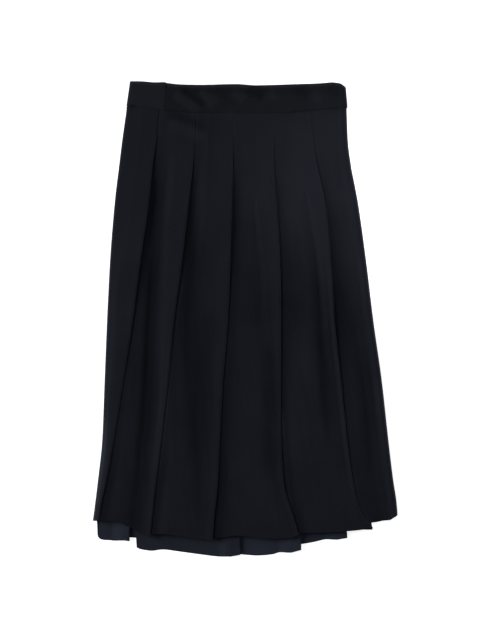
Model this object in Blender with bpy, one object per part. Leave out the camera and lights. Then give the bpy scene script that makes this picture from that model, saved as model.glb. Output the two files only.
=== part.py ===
"""Pleated midi skirt, laid flat with its front up.

+X is the viewer's right, +Y points to the waist and +Z up. The origin is the middle of the
underside. Lengths are in metres, and the tables are in millimetres, as mm() reads them.
A drop is a distance down the skirt from the level of the waist seam. A height is a distance
outwards from a panel's innermost layer: up on the front panel, down on the back panel.
"""

from collections import namedtuple

import bpy
import numpy as np


def mm(*values):
    """Millimetres as an array in metres."""
    return np.array(values) * 0.001


# ---- driving dimensions ---------------------------------------------------------------------
CLOTH = 0.0011          # wall of the pleated panels
BAND = 0.0024           # wall of the waistband, cloth folded over its interfacing
SEAM_GAP = 0.0003       # between two pieces that are sewn together
LAYER_GAP = 0.0004      # least room between two layers of cloth
UNDERLAY_TUCK = 0.0012  # how much lower than the panels the hidden underlays start at the waist
WAIST_LEVEL = 0.3445    # Y of the waist seam's level
ROWS = 19               # sections from the waist seam to the hem
SIDE_ROLL = 0.0042      # width of the soft roll where front and back meet in the side seams
BACK_SETTLE = 0.016     # from a back fold edge to where the next outer layer reaches the surface

# Drops at which the fold lines and the sides are given, and those of the form of the folds.
LINE_DROPS = mm(0, 75, 150, 350, 550, 650, 700)
FORM_DROPS = mm(0, 150, 400, 650)

LEFT_SIDE = mm(-196, -206, -215, -228, -236, -247, -255)
RIGHT_SIDE = mm(168, 173, 186, 212, 238, 250, 253)

# At the form drops: the pitch of the back's three layers, and the radii of the outer and the
# inner folds of the front's pleats.
BACK_PITCH = mm(1.6, 1.8, 2.2, 2.4)
OUTER_FOLD = mm(0.8, 0.9, 1.2, 1.4)
INNER_FOLD = mm(0.8, 0.8, 1.0, 1.1)

# A knife pleat. edge: X of its fold edge at the line drops. depth and rise: how far its underlay
# goes back under the fold, and the height of the fold edge, at the form drops. hem and root_hem:
# drop of the hem at the fold edge and at the underlay's inner fold.
Pleat = namedtuple("Pleat", "edge depth rise hem root_hem")

# A soft roll down a panel, a crest or a trough. share: its place between the fold edge that the
# panel comes out of (0) and the next underlay (1), and height, both at the form drops.
Roll = namedtuple("Roll", "share height hem")

FRONT_PLEATS = [
    Pleat(mm(-142, -149, -158, -185, -216, -235, -243), mm(25, 25, 18, 4.3), mm(3.4, 6, 9, 8), 0.678, 0.678),
    Pleat(mm(-82, -83, -92, -115, -137, -149, -157), mm(28, 28, 25, 17), mm(3.4, 5.5, 7.5, 8), 0.705, 0.703),
    Pleat(mm(-20, -20, -19, -28, -41, -48, -54), mm(28, 28, 24, 15), mm(3.4, 5, 7, 8), 0.711, 0.707),
    Pleat(mm(48, 48, 51, 59, 60, 74, 95), mm(28, 28, 23, 11), mm(3.4, 4.4, 6, 7.5), 0.701, 0.699),
    Pleat(mm(109, 115, 129, 142, 163, 181, 201), mm(28, 28, 24, 14), mm(3.4, 4.4, 6, 7.5), 0.690, 0.685),
]

# The rolls of the front's panels, from the left side to the right side.
FRONT_ROLLS = [
    [
        Roll((0.50, 0.50, 0.50, 0.50), mm(0.3, 1.2, 2.5, 3.8), 0.678),
    ],
    [
        Roll((0.10, 0.10, 0.22, 0.40), mm(0.1, 0.4, 2.8, 5.5), 0.679),
        Roll((0.30, 0.25, 0.60, 0.80), mm(0.1, 0.5, 0.5, 1.0), 0.688),
    ],
    [
        Roll((0.20, 0.18, 0.20, 0.42), mm(0.1, 0.5, 2.6, 5.5), 0.700),
        Roll((0.40, 0.40, 0.50, 0.82), mm(0.1, 0.8, 0.8, 1.2), 0.708),
    ],
    [
        Roll((0.45, 0.45, 0.60, 0.42), mm(0.2, 1.8, 3.8, 5.0), 0.706),
        Roll((0.75, 0.75, 0.86, 0.80), mm(0.2, 1.4, 1.6, 1.4), 0.709),
    ],
    [
        Roll((0.45, 0.50, 0.60, 0.44), mm(0.2, 1.8, 4.2, 5.6), 0.698),
        Roll((0.75, 0.78, 0.88, 0.76), mm(0.2, 1.2, 1.0, 1.0), 0.695),
    ],
    [
        Roll((0.30, 0.30, 0.30, 0.30), mm(0.2, 0.8, 1.2, 1.4), 0.677),
        Roll((0.65, 0.65, 0.65, 0.62), mm(0.2, 1.6, 2.4, 3.0), 0.673),
    ],
]

# The back's pleats as they are seen from behind, with X reversed, from the skirt's right side.
BACK_PLEATS = [
    Pleat(mm(-114, -122, -130, -148, -172, -186, -193), mm(28, 28, 22, 16), None, 0.677, 0.693),
    Pleat(mm(-54, -60, -69, -95, -125, -143, -151), mm(28, 28, 22, 16), None, 0.694, 0.707),
    Pleat(mm(8, 2, -6, -30, -55, -68, -75), mm(28, 28, 22, 16), None, 0.718, 0.727),
    Pleat(mm(76, 70, 65, 52, 38, 29, 24), mm(28, 28, 22, 16), None, 0.737, 0.736),
    Pleat(mm(137, 146, 153, 170, 187, 197, 202), mm(28, 28, 22, 14), None, 0.720, 0.712),
]

# Drop of the hem in the left and the right side seam, and beside them on each panel. The heights
# of the front's shoulders there are given at the form drops.
LEFT_SEAM_HEM, RIGHT_SEAM_HEM = 0.678, 0.669
LEFT_FRONT_HEM, RIGHT_FRONT_HEM = 0.678, 0.670
LEFT_BACK_HEM, RIGHT_BACK_HEM = 0.702, 0.671
LEFT_SHOULDER = mm(0.2, 0.6, 1.6, 3.6)
RIGHT_SHOULDER = mm(0.2, 0.8, 0.8, 1.0)

# The waist seam's drop, and the height of the waistband's top edge over the waist level, along X.
SEAM_X = mm(-188, -164, -140, -112, -66, 60, 110, 167)
SEAM_DROP = mm(-6.0, -4.6, -0.6, 3.0, 5.0, 5.0, 1.0, -3.3)
TOP_X = mm(-188, -173, -147, -134, -127, -107, -74, -15, 18, 84, 124, 144, 157, 163, 167)
TOP_HEIGHT = mm(47.9, 47.7, 45.9, 46.2, 44.6, 42.5, 41.8, 43.1, 41.1, 42.9, 44.3, 45.9, 44.3, 40.3, 36.5)

# Waistband: X of its sides at the top edge and at the seam, the ends of the tab and the underlap,
# the width of its side folds, and the heights of its layers' middles above the surface below.
BAND_TOP_SIDES = mm(-190, 166.5)
BAND_SEAM_SIDES = mm(-196, 169.5)
BAND_FOLD = 0.0036
TAB_END = -0.132
UNDERLAP_END = -0.178
STEP_DOWN = 0.018       # the front layer starts down this far before it passes under the tab
BACK_LAYER, UNDERLAP_LAYER, FRONT_LAYER, TAB_LAYER = mm(1.2, 4.4, 7.0, 7.4)

NAVY = (0.0086, 0.0092, 0.0140, 1.0)


# ---- lengths that change down the skirt -------------------------------------------------------
def smooth(stations, values, at):
    """Values between the stations, on a cubic that passes through them and never overshoots."""
    at = np.clip(at, stations[0], stations[-1])
    step = np.diff(stations)
    slope = np.diff(values) / step
    same_way = slope[:-1] * slope[1:] > 0.0
    total = np.where(same_way, slope[:-1] + slope[1:], 1.0)
    inner = np.where(same_way, 2.0 * slope[:-1] * slope[1:] / total, 0.0)
    tangent = np.concatenate([slope[:1], inner, slope[-1:]])
    i = np.clip(np.searchsorted(stations, at, side="right") - 1, 0, len(step) - 1)
    u = (at - stations[i]) / step[i]
    level = values[i] * (1 + 2 * u) * (1 - u) ** 2 + values[i + 1] * (3 - 2 * u) * u**2
    return level + step[i] * (tangent[i] * u * (1 - u) ** 2 - tangent[i + 1] * (1 - u) * u**2)


class Along:
    """A length as a function of the drop, which adds, subtracts and scales like a number."""

    def __init__(self, rule):
        self.rule = rule if callable(rule) else lambda drop: rule + 0.0 * drop

    def __call__(self, drop):
        return self.rule(drop)

    def __add__(self, other):
        other = as_along(other)
        return Along(lambda drop: self(drop) + other(drop))

    def __mul__(self, other):
        other = as_along(other)
        return Along(lambda drop: self(drop) * other(drop))

    def __sub__(self, other):
        return self + as_along(other) * -1.0


def as_along(value):
    return value if isinstance(value, Along) else Along(value)


def fold_line(values):
    """X of a line that runs down the skirt."""
    return Along(lambda drop: smooth(LINE_DROPS, values, drop))


def form(values):
    """A depth, height or share that changes from waist to hem."""
    return Along(lambda drop: smooth(FORM_DROPS, np.asarray(values), drop))


def blend(first, last, share):
    return first + (last - first) * share


FLAT = Along(0.0)
BACK_STACK = form(2.0 * BACK_PITCH)                     # height of the back's outer layer
FRONT_FLOOR = BACK_STACK + (CLOTH + LAYER_GAP)          # Z of the front's underside
SIDE_JOIN = (FRONT_FLOOR + CLOTH) * 0.5                 # Z of the side seams


# ---- a pleated panel --------------------------------------------------------------------------
class Panel:
    """Columns of points across a panel, in order along its cloth, each from waist seam to hem."""

    def __init__(self, facing, outer_fold, inner_fold, seam_height):
        self.facing = facing            # 1 for the front, -1 for the back, whose X is reversed
        self.outer_fold = outer_fold    # radii of the pleats' folds
        self.inner_fold = inner_fold
        self.seam_height = seam_height  # height of the panel's ends in the side seams
        self.columns = []

    def add(self, hem, x, height, tuck=0.0):
        """One column, whose drops run from the waist seam to the hem."""
        top = smooth(SEAM_X, SEAM_DROP, self.facing * x(np.zeros(1)))[0] + SEAM_GAP + tuck
        drop = np.linspace(top, hem, ROWS)
        self.columns.append((drop, x(drop), height(drop)))

    def side(self, side_x, inwards, shoulder, seam_hem, hem):
        """The roll at a side: a quarter of an ellipse between the side seam and its shoulder."""
        turns = np.radians([0.0, 22.5, 45.0, 67.5, 90.0])
        for turn in turns if inwards > 0 else turns[::-1]:
            across = 1.0 - np.cos(turn)
            self.add(
                blend(seam_hem, hem, across),
                side_x + inwards * (CLOTH / 2 + SIDE_ROLL * across),
                blend(self.seam_height, shoulder, np.sin(turn)),
            )

    def rolls(self, start, end, rolls):
        """The open part of a panel, with a column on each roll and one halfway to the next.

        start and end are the X, height and hem of the columns before and after.
        """
        (start_x, start_height, start_hem), (end_x, end_height, end_hem) = start, end
        shares = [FLAT] + [form(roll.share) for roll in rolls] + [Along(1.0)]
        heights = [start_height] + [form(roll.height) for roll in rolls] + [end_height]
        hems = [start_hem] + [roll.hem for roll in rolls] + [end_hem]
        for i in range(len(rolls) + 1):
            for part in (0.5, 1.0):
                if i < len(rolls) or part < 1.0:
                    share = blend(shares[i], shares[i + 1], part)
                    height = blend(heights[i], heights[i + 1], part)
                    self.add(blend(hems[i], hems[i + 1], part), blend(start_x, end_x, share), height)

    def pleat(self, pleat, over_root, top_at):
        """A pleat: over its own underlay, round the fold edge, back under it and out again.

        over_root is the X where the panel starts to pass over the inner fold, and top_at(share)
        its height from there (0) to the fold edge (1). The underlay follows it from below.
        """
        edge, depth = fold_line(pleat.edge), form(pleat.depth)
        outer, inner = self.outer_fold, self.inner_fold
        outer_x = edge - outer - CLOTH / 2
        inner_x = edge - depth + inner + CLOTH / 2
        root_room = top_at(0.0) - inner * 2.0
        for share in (0.0, 0.4, 0.75, 1.0):
            self.add(pleat.hem, blend(over_root, outer_x, share), top_at(share))
        for turn in np.radians([30.0, -30.0]):
            self.add(pleat.hem, outer_x + outer * np.cos(turn), top_at(1.0) + outer * (np.sin(turn) - 1.0))
        for share in (1.0, 0.75, 0.4, 0.0):
            hem = blend(pleat.root_hem, pleat.hem, share)
            height = top_at(share) - blend(root_room, outer * 2.0, share)
            self.add(hem, blend(inner_x, outer_x, share), height, UNDERLAY_TUCK)
        for turn in np.radians([150.0, 210.0]):
            x, height = inner_x + inner * np.cos(turn), inner * (1.0 + np.sin(turn))
            self.add(pleat.root_hem, x, height, UNDERLAY_TUCK)
        self.add(pleat.root_hem, inner_x, FLAT, UNDERLAY_TUCK)
        self.add(pleat.root_hem, edge - depth * 0.15, FLAT, UNDERLAY_TUCK)
        self.add(pleat.root_hem, edge, FLAT)

    def points(self):
        """Arrays of X, drop and height, a row for each section."""
        drop, x, height = (np.stack(part, axis=1) for part in zip(*self.columns))
        return self.facing * x, drop, height


def over_root_x(pleat):
    """X where a panel starts to pass over the inner fold of its pleat."""
    return fold_line(pleat.edge) - form(pleat.depth) - CLOTH


def front_points():
    """Middle surface of the front panel: open rolls between knife pleats that stand on edge."""
    seam_height = SIDE_JOIN - FRONT_FLOOR + (SEAM_GAP - CLOTH) / 2
    panel = Panel(1, form(OUTER_FOLD), form(INNER_FOLD), seam_height)
    left, right = fold_line(LEFT_SIDE), fold_line(RIGHT_SIDE)
    left_shoulder, right_shoulder = form(LEFT_SHOULDER), form(RIGHT_SHOULDER)
    least = panel.inner_fold * 2.0 + (CLOTH + LAYER_GAP)
    panel.side(left, 1, left_shoulder, LEFT_SEAM_HEM, LEFT_FRONT_HEM)
    start = (left + (CLOTH / 2 + SIDE_ROLL), left_shoulder, LEFT_FRONT_HEM)
    for pleat, rolls in zip(FRONT_PLEATS, FRONT_ROLLS):
        rise = form(pleat.rise)
        panel.rolls(start, (over_root_x(pleat), least, pleat.hem), rolls)
        panel.pleat(pleat, over_root_x(pleat), lambda share: blend(least, rise, share**1.5))
        start = (fold_line(pleat.edge), FLAT, pleat.root_hem)
    panel.rolls(start, (right - (CLOTH / 2 + SIDE_ROLL), right_shoulder, RIGHT_FRONT_HEM), FRONT_ROLLS[-1])
    panel.side(right, -1, right_shoulder, RIGHT_SEAM_HEM, RIGHT_FRONT_HEM)
    x, drop, height = panel.points()
    return x, WAIST_LEVEL - drop, FRONT_FLOOR(drop) + CLOTH / 2 + height


def back_points():
    """Middle surface of the back panel: its outer layer lies flat on the surface below."""
    seam_height = BACK_STACK - SIDE_JOIN + (SEAM_GAP + CLOTH) / 2
    panel = Panel(-1, BACK_STACK * 0.25, BACK_STACK * 0.25, seam_height)
    panel.side(fold_line(-RIGHT_SIDE), 1, BACK_STACK, RIGHT_SEAM_HEM, RIGHT_BACK_HEM)
    for pleat in BACK_PLEATS:
        edge = fold_line(pleat.edge)
        panel.pleat(pleat, over_root_x(pleat), lambda share: BACK_STACK)
        panel.add(pleat.root_hem, edge + BACK_SETTLE / 3, BACK_STACK * 0.25)
        panel.add(pleat.root_hem, edge + BACK_SETTLE, BACK_STACK)
    panel.side(fold_line(-LEFT_SIDE), -1, BACK_STACK, LEFT_SEAM_HEM, LEFT_BACK_HEM)
    x, drop, height = panel.points()
    return x, WAIST_LEVEL - drop, BACK_STACK(drop) + CLOTH / 2 - height


# ---- the waistband ----------------------------------------------------------------------------
def band_strip():
    """X and Z along the band: tab, left fold, back, right fold, front, and down to the underlap."""
    left, right = (BAND_SEAM_SIDES + BAND_TOP_SIDES) / 2
    left += BAND / 2 + BAND_FOLD
    right -= BAND / 2 + BAND_FOLD
    turns = np.linspace(0.0, np.pi, 7)
    lift = TAB_END + STEP_DOWN
    runs = [
        (np.linspace(TAB_END, left, 8)[:-1], TAB_LAYER),
        (left - BAND_FOLD * np.sin(turns), blend(TAB_LAYER, BACK_LAYER, (1 - np.cos(turns)) / 2)),
        (np.linspace(left, right, 30)[1:-1], BACK_LAYER),
        (right + BAND_FOLD * np.sin(turns), blend(BACK_LAYER, FRONT_LAYER, (1 - np.cos(turns)) / 2)),
        (np.linspace(right, lift, 20)[1:], FRONT_LAYER),
        (np.linspace(lift, TAB_END, 4)[1:], blend(FRONT_LAYER, UNDERLAP_LAYER, np.array([0.2, 0.75, 1.0]))),
        (np.linspace(TAB_END, UNDERLAP_END, 6)[1:], UNDERLAP_LAYER),
    ]
    return np.concatenate([x for x, z in runs]), np.concatenate([z + 0.0 * x for x, z in runs])


def band_points():
    """The band's middle surface, in rows from the seam to the top edge, and half its wall on each."""
    x, z = band_strip()
    rows = np.array([[0.0], [0.04], [0.5], [0.96], [1.0]])
    half = BAND / 2 * np.array([0.8, 1.0, 1.0, 1.0, 0.5])
    left, right = (BAND_SEAM_SIDES + BAND_TOP_SIDES) / 2
    across = (x - left) / (right - left)
    seam_x = blend(*BAND_SEAM_SIDES, across)
    top_x = blend(*BAND_TOP_SIDES, across)
    seam_y = WAIST_LEVEL - smooth(SEAM_X, SEAM_DROP, seam_x)
    top_y = WAIST_LEVEL + np.interp(top_x, TOP_X, TOP_HEIGHT)
    return blend(seam_x, top_x, rows), blend(seam_y, top_y, rows), z + 0.0 * rows, half


# ---- walls ------------------------------------------------------------------------------------
def wall_sides(x, z, half):
    """Both sides of a wall round its middle line in each section, mitred at every point."""
    run_x, run_z = np.diff(x, axis=1), np.diff(z, axis=1)
    length = np.hypot(run_x, run_z)
    out_x, out_z = -run_z / length, run_x / length
    for end in (0, -1):  # the ends are cut square: level in the side seams, upright on the band
        upright = np.abs(out_z[:, end]) > np.abs(out_x[:, end])
        out_x[:, end] = np.where(upright, 0.0, np.sign(out_x[:, end]))
        out_z[:, end] = np.where(upright, np.sign(out_z[:, end]), 0.0)
    mitre_x = np.hstack([out_x[:, :1], out_x]) + np.hstack([out_x, out_x[:, -1:]])
    mitre_z = np.hstack([out_z[:, :1], out_z]) + np.hstack([out_z, out_z[:, -1:]])
    scale = half[:, None] * 2.0 / (mitre_x**2 + mitre_z**2)
    return [(x + side * mitre_x * scale, z + side * mitre_z * scale) for side in (1, -1)]


def quads(a, b, c, d):
    return np.stack([a, b, c, d], axis=-1).reshape(-1, 4)


def rim(outer, inner):
    """Quads that close a wall along one of its edges."""
    return quads(outer[:-1], outer[1:], inner[1:], inner[:-1])


def add_wall(name, x, y, z, half, material):
    """A closed wall: two sheets of quads, joined along the four edges."""
    sheets = [np.stack([at_x, y, at_z], axis=-1).reshape(-1, 3) for at_x, at_z in wall_sides(x, z, half)]
    outer = np.arange(x.size).reshape(x.shape)
    inner = outer + x.size
    faces = np.concatenate([
        quads(outer[:-1, :-1], outer[1:, :-1], outer[1:, 1:], outer[:-1, 1:]),
        quads(inner[:-1, :-1], inner[:-1, 1:], inner[1:, 1:], inner[1:, :-1]),
        rim(outer[0], inner[0]),
        rim(outer[::-1, 0], inner[::-1, 0]),
        rim(outer[-1, ::-1], inner[-1, ::-1]),
        rim(outer[:, -1], inner[:, -1]),
    ])
    if y[0, 0] < y[-1, 0]:  # rows that run up the skirt turn the faces round
        faces = faces[:, ::-1]
    mesh = bpy.data.meshes.new(name)
    mesh.from_pydata(np.concatenate(sheets).tolist(), [], faces.tolist())
    mesh.shade_smooth()
    mesh.set_sharp_from_angle(angle=np.radians(40.0))
    mesh.materials.append(material)
    bpy.context.collection.objects.link(bpy.data.objects.new(name, mesh))


def cloth_material(name, roughness):
    material = bpy.data.materials.new(name)
    material.use_nodes = True
    shader = material.node_tree.nodes["Principled BSDF"]
    shader.inputs["Base Color"].default_value = NAVY
    shader.inputs["Roughness"].default_value = roughness
    shader.inputs["Metallic"].default_value = 0.0
    return material


def main():
    for item in list(bpy.data.objects):
        bpy.data.objects.remove(item, do_unlink=True)
    panel_half = np.full(ROWS, CLOTH / 2)
    add_wall("front_panel", *front_points(), panel_half, cloth_material("front_cloth", 0.90))
    add_wall("back_panel", *back_points(), panel_half, cloth_material("back_cloth", 0.90))
    add_wall("waistband", *band_points(), cloth_material("band_cloth", 0.85))


main()
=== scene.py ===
"""Pleated midi skirt, laid flat with its front up: its cloth pieces, finishes, light and camera.

+X is the viewer's right, +Y points to the waist and +Z up, in metres. The tables are in
millimetres, as mm() reads them. A drop is a distance down the skirt from the level of the waist
seam. A height is a distance outwards from a panel's innermost layer: up on the front panel, down
on the back panel.
"""

from collections import namedtuple

import bpy
import numpy as np
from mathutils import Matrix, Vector


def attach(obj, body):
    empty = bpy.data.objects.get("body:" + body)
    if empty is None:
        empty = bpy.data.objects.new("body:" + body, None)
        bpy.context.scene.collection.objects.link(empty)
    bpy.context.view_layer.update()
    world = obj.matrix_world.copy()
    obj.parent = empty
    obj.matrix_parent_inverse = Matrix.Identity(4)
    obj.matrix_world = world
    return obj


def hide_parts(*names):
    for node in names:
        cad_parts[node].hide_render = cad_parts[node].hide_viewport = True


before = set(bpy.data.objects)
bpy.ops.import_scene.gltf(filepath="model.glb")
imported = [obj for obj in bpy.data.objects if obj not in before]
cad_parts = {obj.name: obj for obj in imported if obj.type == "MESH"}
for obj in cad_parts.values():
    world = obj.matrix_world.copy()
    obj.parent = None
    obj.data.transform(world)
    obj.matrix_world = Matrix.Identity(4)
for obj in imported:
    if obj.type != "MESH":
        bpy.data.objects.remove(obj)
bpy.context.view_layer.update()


def mm(*values):
    """Millimetres as an array in metres."""
    return np.array(values) * 0.001


# ---- sizes ------------------------------------------------------------------------------------
CLOTH = 0.0009          # thickness of the skirt cloth
HEM_CLOTH = 0.0011      # the same where the hem is turned up
HEM_TURNING = 0.030     # depth of the turned hem,
TURNING_SOFT = 0.002    # and the length over which its thickness ends
HEM_ROUND = 0.0009      # depth of the hem's rounded edge,
HEM_EDGE = 0.2          # whose last thickness is this share of the hem's
SEAM_EDGE = 0.5         # thickness in the side seams, as a share of the cloth's
BAND = 0.0023           # thickness of the waistband
LAYER_PITCH = 0.0015    # least distance between the middles of two layers
SEAM_GAP = 0.0003       # between two pieces that are sewn together
SEAM_STEP = 0.0012      # how much lower the waist seam lies on the back than on the front,
SEAM_EASE = 0.012       # and the length over which it gets there from each side
WAIST_LEVEL = 0.3445    # Y of the waist seam's level
SIDE_ROLL = 0.0042      # width of the soft roll where front and back meet in the side seams
FREE_TUCK = 0.0065      # how far the back's free corner at the left lies inside the side seam,
TUCK_DROP = 0.656       # the drop where its side starts to go in,
TUCK_LENGTH = 0.026     # and the length over which it does
BACK_SETTLE = 0.022     # from a back fold edge to where the next outer layer reaches the surface
SPREAD_DROPS = mm(0, 400, 700)  # the back's columns are even at first, then as in BACK_HEMS
GAPE = 0.13             # share of a pleat's opening that it reaches right below its stitching,
GAPE_LENGTH = 0.006     # over this length
STITCHED_SWELL = 0.0022  # how far a panel stands up between pleats that are stitched shut
LEAST_FOOT = 0.75 * LAYER_PITCH  # height of a stitched pleat above the top of its inner fold
BESIDE_SHUT = 0.6 * CLOTH  # how far beyond a stitched fold edge the next panel comes out,
BESIDE_OPEN = 0.3 * CLOTH  # and how much further beyond an open one
BESIDE = 0.003          # width of the level strip of a panel right beside a fold edge,
BESIDE_BEND = 0.0006    # of which its first part bends down,
BESIDE_DIP = 0.0003     # by so much
FRONT_LIFT = 0.0005     # how far the front stands above its form between the sides,
FRONT_WAVE = 0.0003     # height of the slow waves in it,
WAVE_ACROSS, WAVE_DOWN = 0.045, 0.5  # their lengths,
WAVE_START = 0.2        # the drop over which they come in,
SIDE_FADE = 0.02        # and the width over which all that comes in from each side
SPACING = 0.0032        # between columns along the cloth
ROWS = 150              # sections from the waist seam to the hem
HEM_START = 0.0024      # the even rows end this far above the hem,
HEM_ROWS = np.array([0.0008, 0.0003, 0.0001])  # and the last ones follow its rounded edge

# Drops at which the front's fold lines and the sides are given, the back's fold lines, and the
# form of the folds.
LINE_DROPS = mm(0, 50, 91, 149, 248, 347, 446, 545, 611, 644, 668, 701)
BACK_LINE_DROPS = mm(0, 75, 150, 350, 550, 650, 700)
FORM_DROPS = mm(0, 150, 330, 480, 650)

LEFT_SIDE = mm(-196, -203, -208, -215, -223, -228, -232, -236, -243, -247, -250, -255)
RIGHT_SIDE = mm(168, 170, 175, 186, 200, 212, 226, 237, 245, 250, 252, 253)

# At the form drops: the pitch of the back's three layers, and the radii of the folds in the
# front's pleats.
BACK_PITCH = mm(1.6, 1.7, 1.8, 1.7, 1.6)
OUTER_FOLD = mm(0.6, 0.8, 1.0, 1.1, 1.2)
INNER_FOLD = mm(0.6, 0.8, 0.9, 1.0, 1.1)

# A knife pleat. edge: X of its fold edge at the line drops. At the form drops, depth: how far its
# underlay goes back under the fold; foot, rise and dip: the height where the panel starts to pass
# over the underlay, the height of the fold edge, and the sag between them; beside: the height of
# the next panel right beside the fold edge. curve: 1 for a straight way up, more where it steepens
# towards the edge. foot_hem, hem, root_hem and next_hem: drop of the hem at the foot, at the fold
# edge, at the underlay's inner fold and where the next panel comes out. stitched: drop of the end
# of the stitching that holds the pleat shut, and opening: how far below it the pleat is fully open.
Pleat = namedtuple(
    "Pleat",
    "edge depth foot rise dip beside curve foot_hem hem root_hem next_hem stitched opening",
)

# A knife pleat of the back, whose layers lie flat on each other.
FlatPleat = namedtuple("FlatPleat", "edge depth foot_hem hem root_hem next_hem")

# A soft roll down a panel, a crest or a trough. share: its place between the fold edge that the
# panel comes out of (0) and the next underlay (1), and height, both at the form drops.
Roll = namedtuple("Roll", "share height hem")

# The lines of a row: edge; depth, foot, rise; dip, beside, curve; hems; stitched and opening.
FRONT_PLEATS = [
    Pleat(
        mm(-142, -146, -152, -158, -172, -185, -200, -216, -228, -235.5, -240, -245),
        mm(25, 25, 20.5, 14, 4.3), mm(2.3, 3.9, 6.0, 6.3, 4.8), mm(3.4, 5.6, 7.4, 7.4, 5.2),
        mm(0, 0, 0, 0, 0), mm(0, 0.4, 4.7, 6.0, 3.2), 1.0,
        0.678, 0.678, 0.678, 0.678,
        0.036, 0.12,
    ),
    Pleat(
        mm(-80, -82.5, -86, -92.5, -103.5, -117, -126, -137, -145.5, -149.5, -152, -155.5),
        mm(28, 28, 20, 11, 10), mm(2.3, 2.9, 3.0, 2.5, 2.2), mm(3.4, 5.0, 5.5, 5.0, 3.4),
        mm(0, 0, 0, 0, 0), mm(0, 0.4, 3.4, 4.0, 1.9), 0.9,
        0.7035, 0.7055, 0.703, 0.700,
        0.048, 0.16,
    ),
    Pleat(
        mm(-20, -20, -20, -21.5, -24, -28, -36, -41.5, -44.5, -47.5, -50.5, -53),
        mm(28, 28, 20, 13, 11), mm(2.3, 2.9, 2.8, 2.4, 2.6), mm(3.4, 4.6, 4.5, 3.9, 3.5),
        mm(0, 0, 0, 0, 0), mm(0, 0.4, 2.7, 2.2, 1.4), 1.0,
        0.709, 0.711, 0.707, 0.707,
        0.050, 0.14,
    ),
    Pleat(
        mm(48, 48, 48, 51, 58, 59.5, 59.5, 60.5, 64, 71, 79, 89),
        mm(28, 28, 20, 12, 10), mm(2.3, 2.9, 2.8, 2.5, 2.5), mm(3.4, 4.0, 4.1, 3.4, 3.3),
        mm(0, 0.2, 0.2, 0.1, 0.1), mm(0, 0.8, 2.0, 2.0, 1.5), 1.5,
        0.707, 0.701, 0.699, 0.6985,
        0.048, 0.14,
    ),
    Pleat(
        mm(109, 112, 119, 132, 141.5, 148, 158.5, 169, 178, 185, 195, 221),
        mm(28, 22, 10, 10, 10), mm(2.3, 3.0, 2.7, 2.5, 4.0), mm(3.4, 4.2, 4.7, 4.6, 4.6),
        mm(0, 0.1, 0.4, 0.3, 0.2), mm(0, 0.8, 1.7, 2.8, 3.3), 1.5,
        0.691, 0.690, 0.685, 0.681,
        0.030, 0.19,
    ),
]

# The rolls of the front's panels, from the left side to the right side.
FRONT_ROLLS = [
    [
        Roll((0.50, 0.50, 0.50, 0.50, 0.50), mm(1.3, 2.5, 5.2, 5.8, 4.8), 0.678),
    ],
    [
        Roll((0.15, 0.15, 0.18, 0.18, 0.34), mm(0.1, 0.2, 3.6, 6.4, 4.4), 0.679),
        Roll((0.35, 0.35, 0.50, 0.60, 0.72), mm(0.1, 0.3, 0.0, 0.3, 0.8), 0.690),
        Roll((0.65, 0.65, 0.70, 0.78, 0.86), mm(0.1, 0.4, 0.8, 0.6, 1.1), 0.6985),
    ],
    [
        Roll((0.20, 0.18, 0.12, 0.14, 0.24), mm(0.1, 0.3, 1.8, 4.6, 4.2), 0.700),
        Roll((0.40, 0.35, 0.30, 0.40, 0.62), mm(0.1, 1.2, 0.4, 1.5, 2.9), 0.705),
        Roll((0.60, 0.60, 0.60, 0.62, 0.84), mm(0.1, 2.2, 1.7, 0.1, 2.3), 0.708),
    ],
    [
        Roll((0.45, 0.50, 0.50, 0.34, 0.30), mm(0.2, 1.0, 2.3, 2.7, 2.8), 0.703),
        Roll((0.75, 0.80, 0.80, 0.72, 0.72), mm(0.2, 1.4, 1.7, 3.6, 3.6), 0.708),
    ],
    [
        Roll((0.25, 0.25, 0.30, 0.25, 0.25), mm(0.2, 1.2, 1.7, 4.2, 3.6), 0.698),
        Roll((0.55, 0.60, 0.60, 0.46, 0.50), mm(0.2, 2.0, 2.2, 5.2, 4.4), 0.697),
        Roll((0.85, 0.88, 0.86, 0.78, 0.88), mm(0.2, 1.2, 0.8, 1.6, 4.4), 0.693),
    ],
    [
        Roll((0.25, 0.25, 0.25, 0.28, 0.25), mm(0.2, 0.6, 1.4, 2.7, 2.2), 0.680),
        Roll((0.50, 0.45, 0.50, 0.55, 0.50), mm(0.2, 1.4, 2.2, 1.7, 2.1), 0.678),
        Roll((0.80, 0.76, 0.80, 0.82, 0.82), mm(0.2, 3.4, 3.6, 2.8, 3.4), 0.6765),
    ],
]

# The back's pleats as they are seen from behind, with X reversed, from the skirt's right side, and
# after each one the hem of the panel up to the next: share of the way, and drop.
BACK_PLEATS = [
    FlatPleat(
        mm(-114, -122, -130, -148, -172, -188, -196), mm(28, 28, 24, 20, 16),
        0.679, 0.679, 0.693, 0.693,
    ),
    FlatPleat(
        mm(-54, -60, -69, -95, -125, -144, -153), mm(28, 28, 24, 20, 16),
        0.694, 0.694, 0.707, 0.7095,
    ),
    FlatPleat(
        mm(8, 2, -6, -30, -55, -69, -77), mm(28, 28, 24, 20, 16),
        0.717, 0.718, 0.727, 0.7310,
    ),
    FlatPleat(
        mm(76, 70, 65, 52, 38, 29, 24), mm(28, 28, 24, 20, 16),
        0.734, 0.735, 0.735, 0.7375,
    ),
    FlatPleat(
        mm(137, 146, 153, 170, 186, 194, 198.5), mm(28, 28, 22, 14, 8),
        0.706, 0.706, 0.712, 0.711,
    ),
]
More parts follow.
